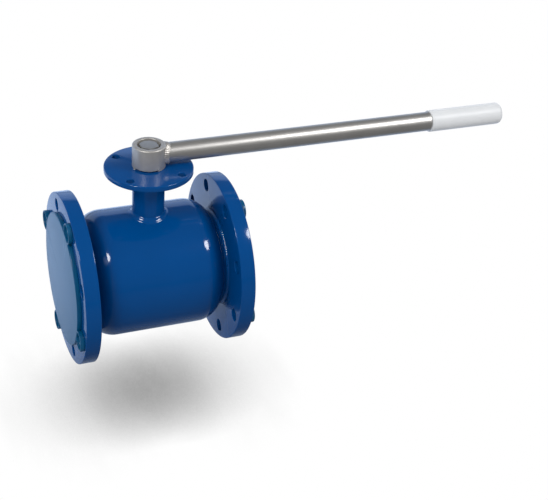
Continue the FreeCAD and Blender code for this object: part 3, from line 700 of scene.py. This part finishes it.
# ---- lever -------------------------------------------------------------------------------------------------


def hub():
    """A round barrel with a recess in its top, a square hole, and a notch that runs against the stop pin."""
    body = turned([
        (HUB_FOOT, 0), (HUB_FOOT, HUB, HUB_FOOT_EDGE), (HUB_TOP, HUB, HUB_TOP_EDGE),
        (HUB_TOP, RECESS, RECESS_EDGE), (RECESS_FLOOR, RECESS), (RECESS_FLOOR, 0),
    ], "Z")
    square = block(SQUARE, SQUARE, HUB_FOOT - PAST, HUB_TOP)
    notch = bmesh.new()
    corners = [(NOTCH_IN, HUB_FOOT - PAST), (HUB + PAST, HUB_FOOT - PAST), (HUB + PAST, NOTCH_TOP),
               (NOTCH_IN, NOTCH_TOP)]
    section = notch.faces.new([notch.verts.new((out, 0, up)) for out, up in corners])
    bmesh.ops.spin(notch, geom=[section], cent=(0, 0, 0), axis=(0, 0, 1), angle=math.radians(NOTCH_SWEEP),
                   steps=NOTCH_STEPS)
    turn(notch, "Z", NOTCH_START)
    tidy(notch)
    settle("hub_barrel", combined(body, ("DIFFERENCE", square), ("DIFFERENCE", notch)), HUB_STEEL, LEVER,
           ["lever_hub"])


def hub_bolt():
    """A hexagon head with chamfered corners, on a plain shank."""
    head = bmesh.new()
    corner = BOLT_FLAT / math.cos(math.pi / 6)
    bmesh.ops.create_circle(head, cap_ends=True, segments=6, radius=corner)
    top = bmesh.ops.extrude_face_region(head, geom=head.faces[:])
    lifted = [item for item in top["geom"] if isinstance(item, bmesh.types.BMVert)]
    bmesh.ops.translate(head, verts=lifted, vec=(0, 0, BOLT_TOP - WASHER_TOP))
    move(head, z=WASHER_TOP)
    tidy(head)
    out = corner + PAST
    drop = (out - BOLT_FLAT) * math.tan(math.radians(BOLT_CHAMFER))
    envelope = turned([
        (BOLT_END, 0), (BOLT_END, out), (BOLT_TOP - drop, out), (BOLT_TOP, BOLT_FLAT, BOLT_EDGE),
        (BOLT_TOP, 0),
    ], "Z")
    shank = turned([
        (BOLT_END, 0), (BOLT_END, BOLT_SHANK, SHANK_EDGE), (WASHER_TOP + PAST, BOLT_SHANK),
        (WASHER_TOP + PAST, 0),
    ], "Z", SMALL_STEPS)
    settle("hex_bolt", combined(head, ("INTERSECT", envelope), ("UNION", shank)), BOLT_STEEL, LEVER,
           ["hub_bolt"])


def lever():
    """The tube, cut to the hub's round and welded to it, and the sleeve on its end."""
    pipe = turned([
        (LEVER_ROOT, LEVER_IN), (LEVER_ROOT, LEVER_OUT), (LEVER_END, LEVER_OUT), (LEVER_END, LEVER_IN),
    ])
    move(pipe, z=LEVER_AXIS)
    cope = turned([(0, 0), (0, HUB), (2 * HUB_TOP, HUB), (2 * HUB_TOP, 0)], "Z")
    settle("lever_pipe", combined(pipe, ("DIFFERENCE", cope)), TUBE_STEEL, LEVER, ["lever_tube"])

    weld = turned(about(0.0, LEVER_OUT, LEVER_BEAD), steps=LEVER_WELD_STEPS)
    ripple(weld, LEVER_OUT, LEVER_RIPPLE, LEVER_RIPPLE_DEEP, LEVER_RIPPLE_FOOT)
    for vert in weld.verts:  # along onto the hub's round
        vert.co.x += math.sqrt(HUB**2 - min(abs(vert.co.y), HUB) ** 2)
    move(weld, z=LEVER_AXIS)
    settle("lever_weld", weld, WELD_STEEL, LEVER, sharp=BEAD_SHARP)

    sleeve = turned([
        (GRIP_START, LEVER_OUT), (GRIP_START, GRIP, GRIP_EDGE), (GRIP_END, GRIP, GRIP_END_EDGE),
        (GRIP_END, 0), (LEVER_END, 0), (LEVER_END, LEVER_OUT),
    ])
    move(sleeve, z=LEVER_AXIS)
    settle("grip_sleeve", sleeve, GRIP_PLASTIC, LEVER, ["lever_grip"])


hub()
hub_bolt()
lever()
smoothed("hub_washer", BOLT_STEEL, LEVER)
smoothed("stop_pin", BOLT_STEEL, FIXED)


# ---- flange covers -----------------------------------------------------------------------------------------


def cover(side, roll):
    """A thin cover that grips the raised face, with an open cup over every other bolt hole."""
    dish = turned([
        (CAP_INSIDE, 0), (CAP_INSIDE, CAP_BORE), (CAP_REST, CAP_BORE), (CAP_REST, CAP_SKIRT, SKIRT_EDGE),
        (CAP_FRONT, CAP_SKIRT, COVER_EDGE), (CAP_FRONT, 0),
    ])
    cups = turned([
        (CAP_REST, 0), (CAP_REST, CUP, CUP_REST_EDGE), (CAP_FRONT, CUP, CUP_RIM_EDGE),
        (CAP_FRONT, CUP_IN, CUP_RIM_EDGE), (CUP_FLOOR, CUP_IN, CUP_FLOOR_EDGE), (CUP_FLOOR, 0),
    ], steps=SMALL_STEPS)
    move(cups, z=BOLT_CIRCLE)
    turn(cups, "X", BOLT_START)
    ring_of(cups, CUP_COUNT, "X")
    room = turned([
        (CAP_REST - PAST, 0), (CAP_REST - PAST, CAP_BORE), (CAP_INSIDE, CAP_BORE), (CAP_INSIDE, 0),
    ])
    shape = combined(cups, ("UNION", dish), ("DIFFERENCE", room))
    turn(shape, "X", roll)
    settle(f"{side}_cover", shape, COVER_PLASTIC, f"{side}_cover", [f"{side}_cap"], side)


cover(INLET, 45)
cover(OUTLET, 0)


# ---- studio ------------------------------------------------------------------------------------------------

CAMERA_FROM_BALL = Vector((-0.4254, -1.4017, 0.9437))  # metres
CAMERA_AZIMUTH, CAMERA_ELEVATION, CAMERA_ROLL = -23.93, 31.78, 4.42  # degrees
CAMERA_LENS, CAMERA_SENSOR = 79.1, 36.0  # millimetres

SOFTBOXES = [  # direction from the ball, and the direction in which the softbox is long
    (Vector((-0.56, -0.39, 0.72)), Vector((-0.78, 0.46, -0.42))),
    (Vector((0.58, -0.45, 0.68)), Vector((0.78, 0.46, -0.42))),
]
SOFTBOX = (0.72, 0.5)  # metres
SOFTBOX_RADIANCE = 18.0
LAMP_AWAY = 2.0
PANELS = [  # dull panels, in front on the left and behind, which give no highlights
    (Vector((-0.65, -0.75, 0.1)), 1.8),
    (Vector((0.3, 0.85, 0.45)), 3.0),
]
PANEL = (1.5, 1.5)
SWEEP_TOP, SWEEP_EDGE = 0.42, 0.04  # how high the pale sweep reaches and how soft its edge is, as sines
SWEEP_BEHIND = (-0.1, 0.2)  # how far behind the valve a direction has to lead for the sweep to start and fill
SWEEP = (0.56, 0.72, 1.0, 1)
DIM_STUDIO = (0.08, 0.08, 0.08, 1)
FILL = (0.5, 0.5, 0.5, 1)  # plain light that reaches dull surfaces from all round
WHITE = (1, 1, 1, 1)
FLOOR_HALF = 8.0
FLOOR_DROP = 0.1  # the floor lies below the flanges, so that the painted shadow falls clear of them
FLOOR_PALE = (-0.1, 0.25)  # where the floor starts to turn pale, and where it is, behind the pipe's axis; in front of that it is painted dark, a painted shade that only reflections see
SHADOW_REACH = 0.175  # only what is nearer to the floor than this darkens it with painted shadow
SHADOW_OPENING = (0.68, 0.96)  # how open the sky is where the painted shadow is deepest, and where it ends
SHADOW_SAMPLES = 32
FLOOR_PAINTED_SHADOW = 0.3  # the floor's painted glow where the painted shadow is deepest


def camera():
    """It stands in front on the left, above the pipe, and looks down past the inlet."""
    azimuth, elevation = math.radians(CAMERA_AZIMUTH), math.radians(CAMERA_ELEVATION)
    back = Vector((math.sin(azimuth) * math.cos(elevation), -math.cos(azimuth) * math.cos(elevation),
                   math.sin(elevation)))
    data = bpy.data.cameras.new("camera")
    data.sensor_width = CAMERA_SENSOR
    data.lens = CAMERA_LENS
    view = bpy.data.objects.new("camera", data)
    view.location = BALL_CENTRE + CAMERA_FROM_BALL
    view.rotation_mode = "QUATERNION"
    view.rotation_quaternion = back.to_track_quat("Z", "Y") @ Quaternion((0, 0, 1), math.radians(CAMERA_ROLL))
    bpy.context.scene.collection.objects.link(view)
    bpy.context.scene.camera = view


def lamp(name, direction, long_way, across, radiance, glossy=True):
    """An oval lamp that faces the ball, as long and wide as across says."""
    data = bpy.data.lights.new(name, "AREA")
    data.shape = "ELLIPSE"
    data.size, data.size_y = across
    area = math.pi / 4 * across[0] * across[1]
    data.energy = radiance * math.pi * area  # a flat lamp's power, in watts
    item = bpy.data.objects.new(name, data)
    back = direction.normalized()
    along = (long_way - long_way.dot(back) * back).normalized()
    item.location = BALL_CENTRE + back * LAMP_AWAY
    item.rotation_mode = "QUATERNION"
    item.rotation_quaternion = Matrix((along, back.cross(along), back)).transposed().to_quaternion()
    item.visible_camera = False
    item.visible_glossy = glossy
    bpy.context.scene.collection.objects.link(item)


def lamps():
    """Two softboxes for the highlights on the shoulders, and two dull panels."""
    for direction, long_way in SOFTBOXES:
        lamp("softbox", direction, long_way, SOFTBOX, SOFTBOX_RADIANCE)
    for direction, radiance in PANELS:
        lamp("panel", direction, Vector((0, 0, 1)), PANEL, radiance, glossy=False)


def surroundings():
    """A dim studio with a pale sweep behind the valve. The camera itself sees plain white."""
    world = bpy.data.worlds.new("studio")
    world.use_nodes = True
    bpy.context.scene.world = world
    tree = world.node_tree
    rays = add(tree, "LightPath").outputs
    parts = add(tree, "SeparateXYZ", {"Vector": add(tree, "TexCoord").outputs["Generated"]}).outputs
    low = add(tree, "MapRange", {
        "Value": parts["Z"], "From Min": SWEEP_TOP - SWEEP_EDGE, "From Max": SWEEP_TOP + SWEEP_EDGE,
        "To Min": 1.0, "To Max": 0.0,
    }).outputs["Result"]
    behind = add(tree, "MapRange", {
        "Value": parts["Y"], "From Min": SWEEP_BEHIND[0], "From Max": SWEEP_BEHIND[1],
    }).outputs["Result"]
    sweep = add(tree, "Math", {0: low, 1: behind}, operation="MULTIPLY").outputs["Value"]
    colour = DIM_STUDIO
    for share, over in ((sweep, SWEEP), (rays["Is Diffuse Ray"], FILL), (rays["Is Camera Ray"], WHITE)):
        colour = add(tree, "Mix", {"Factor": share, 6: colour, 7: over}, data_type="RGBA").outputs[2]
    tree.links.new(colour, tree.nodes["Background"].inputs["Color"])


def floor():
    """A pale floor that glows for the camera: plain white, with one soft painted shadow taken from ambient
    occlusion. The valve's reflections see it painted dark in front, and diffuse rays see it glow with painted
    bounce light.
    """
    bm = bmesh.new()
    bmesh.ops.create_grid(bm, x_segments=1, y_segments=1, size=FLOOR_HALF)
    move(bm, z=CAD_BOX[0][2] - FLOOR_DROP)
    mesh = bpy.data.meshes.new("floor")
    bm.to_mesh(mesh)
    bm.free()
    material = bpy.data.materials.new("pale_floor_with_painted_shadow")
    material.use_nodes = True
    tree = material.node_tree
    place = add(tree, "SeparateXYZ", {"Vector": add(tree, "TexCoord").outputs["Object"]}).outputs
    behind = add(tree, "MapRange", {
        "Value": place["Y"], "From Min": FLOOR_PALE[0], "From Max": FLOOR_PALE[1],
    }).outputs["Result"]
    # painted shade: the floor's colour is dark in front of the valve and pale behind, for every ray but the
    # camera's
    pale = add(tree, "Mix", {"Factor": behind, 6: DIM_STUDIO, 7: SWEEP}, data_type="RGBA").outputs[2]
    dull = add(tree, "BsdfDiffuse", {"Color": pale})
    rays = add(tree, "LightPath").outputs
    # painted bounce light: the floor glows with the fill for diffuse rays, though it is no lamp
    painted_bounce_glow = add(tree, "Emission", {"Color": FILL, "Strength": rays["Is Diffuse Ray"]})
    unseen = add(tree, "AddShader", {0: dull.outputs[0], 1: painted_bounce_glow.outputs[0]})
    # painted shadow: ambient occlusion under the valve dims the floor's glow
    sky = add(tree, "AmbientOcclusion", {"Distance": SHADOW_REACH}, samples=SHADOW_SAMPLES)
    shade = add(tree, "MapRange", {
        "Value": sky.outputs["AO"], "From Min": SHADOW_OPENING[0], "From Max": SHADOW_OPENING[1],
        "To Min": FLOOR_PAINTED_SHADOW,
    }).outputs["Result"]
    # the camera sees the floor as a white glow with this painted shadow in it
    seen = add(tree, "Emission", {"Strength": shade})
    both = add(tree, "MixShader", {0: rays["Is Camera Ray"], 1: unseen.outputs[0], 2: seen.outputs[0]})
    tree.links.new(both.outputs[0], tree.nodes["Material Output"].inputs["Surface"])
    mesh.materials.append(material)
    ground = bpy.data.objects.new("floor", mesh)
    bpy.context.scene.collection.objects.link(ground)


camera()
lamps()
surroundings()
floor()
bpy.context.scene.view_settings.view_transform = "Standard"
